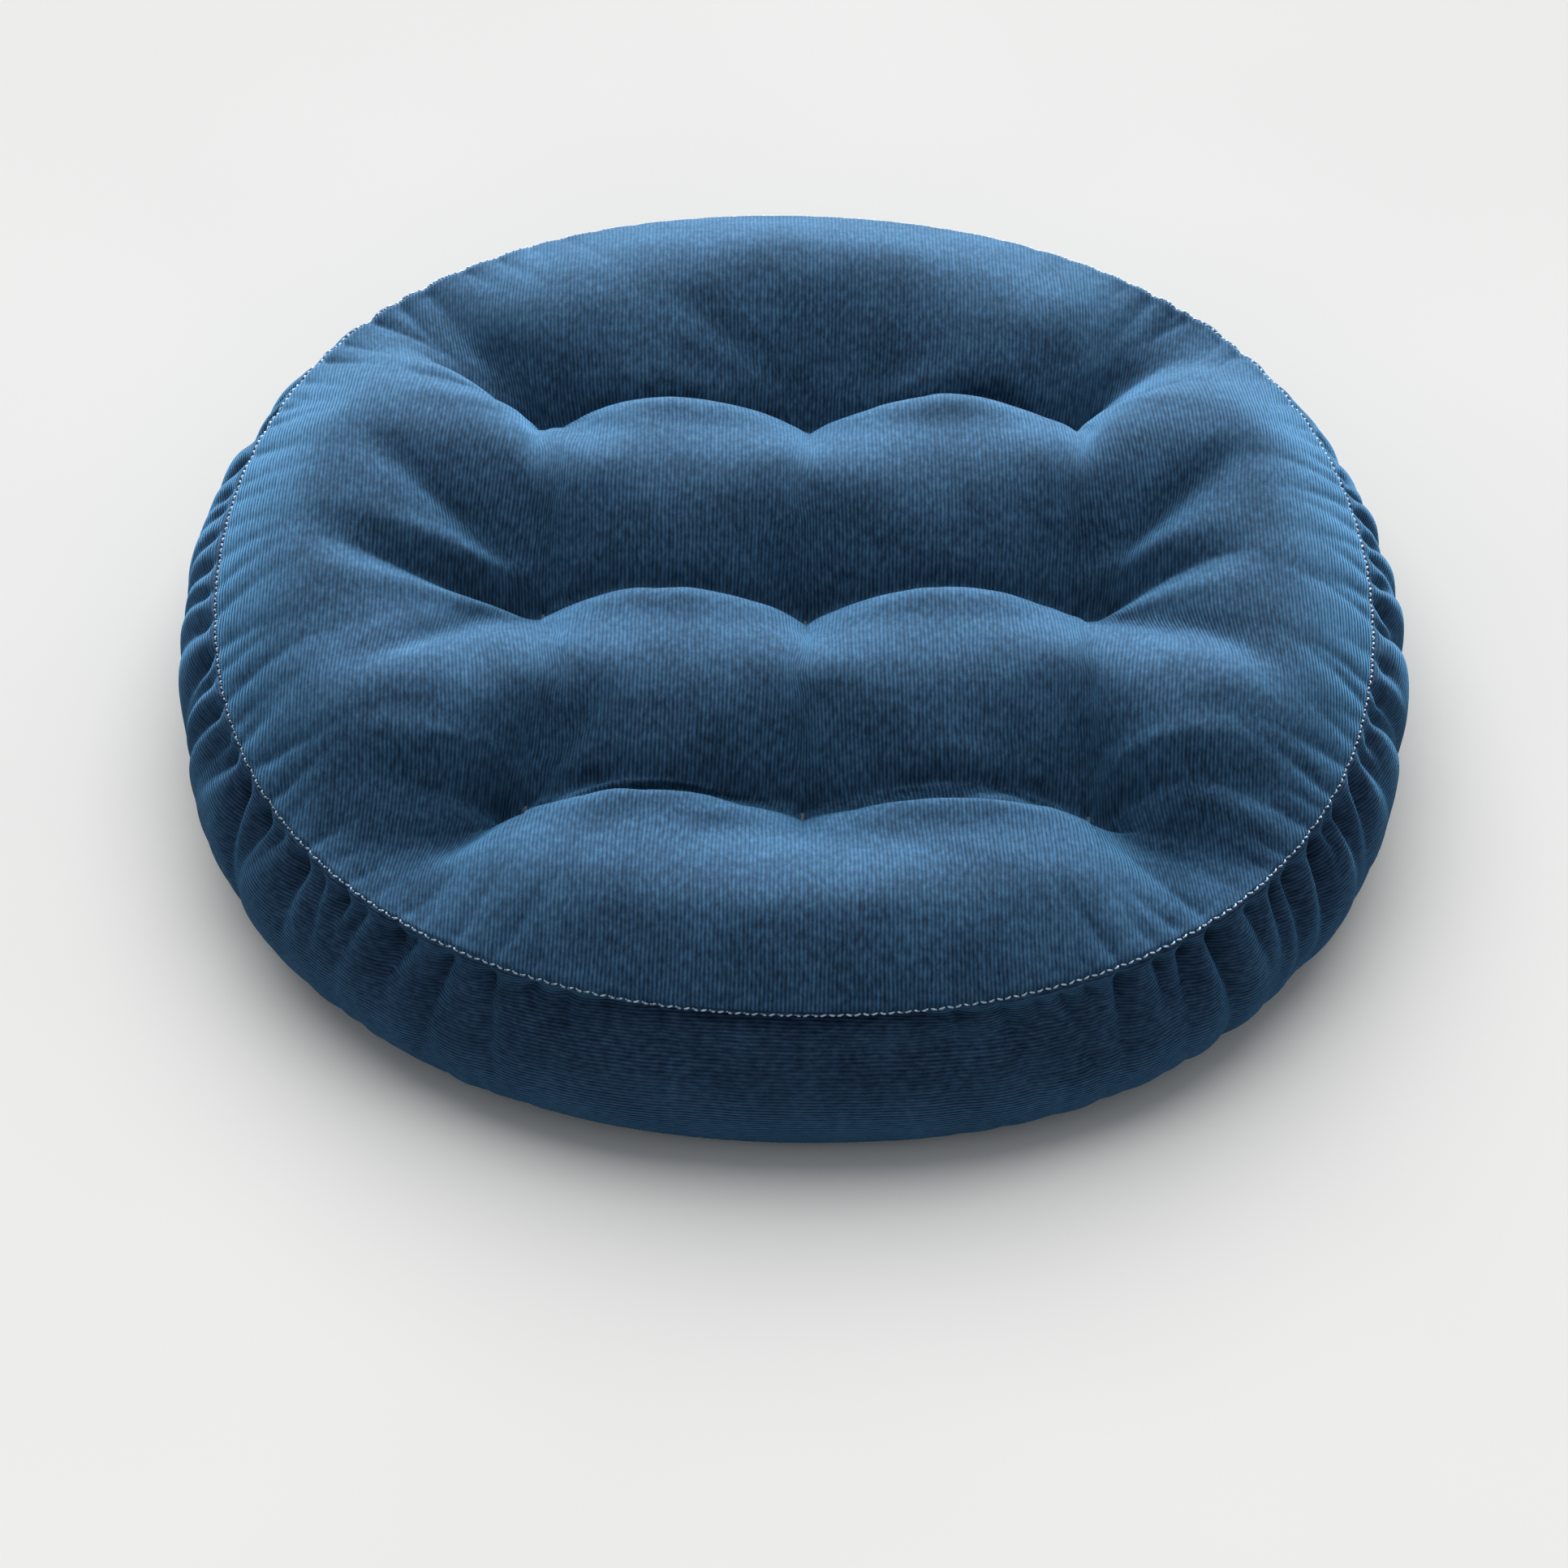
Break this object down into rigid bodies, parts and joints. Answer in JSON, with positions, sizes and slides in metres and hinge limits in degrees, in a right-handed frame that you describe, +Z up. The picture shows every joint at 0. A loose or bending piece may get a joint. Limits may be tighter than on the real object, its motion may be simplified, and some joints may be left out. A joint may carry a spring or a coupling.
{
  "type": "floor cushion",
  "caption": "Round, low floor cushion in fine corduroy, with a boxed side band and a square grid of threaded tufts that draw the top and bottom together.",
  "frame": {"origin": "on the floor, under the centre of the cushion", "axes": "+Z up, out of the seat; +X to the right and +Y to the back as the cushion is seen from its front, where the top's wales run along Y"},
  "size_m": [0.5498, 0.5498, 0.112],
  "materials": {
    "corduroy": "fine-wale cotton corduroy, wales about 1.7 mm apart",
    "filling": "loose polyester fibre",
    "seam_thread": "spun polyester sewing thread",
    "tie_thread": "strong twisted upholstery thread"
  },
  "bodies": {
    "root": {"top_panel": "corduroy", "side_band": "corduroy", "bottom_panel": "corduroy", "fibre_filling": "filling", "tuft_tie_back_left": "tie_thread", "tuft_tie_back_centre": "tie_thread", "tuft_tie_back_right": "tie_thread", "tuft_tie_middle_left": "tie_thread", "tuft_tie_middle_centre": "tie_thread", "tuft_tie_middle_right": "tie_thread", "tuft_tie_front_left": "tie_thread", "tuft_tie_front_centre": "tie_thread", "tuft_tie_front_right": "tie_thread", "top_seam_stitching": "seam_thread", "bottom_seam_stitching": "seam_thread", "closing_stitches": "tie_thread", "band_join_stitching": "seam_thread"}
  },
  "joints": []
}
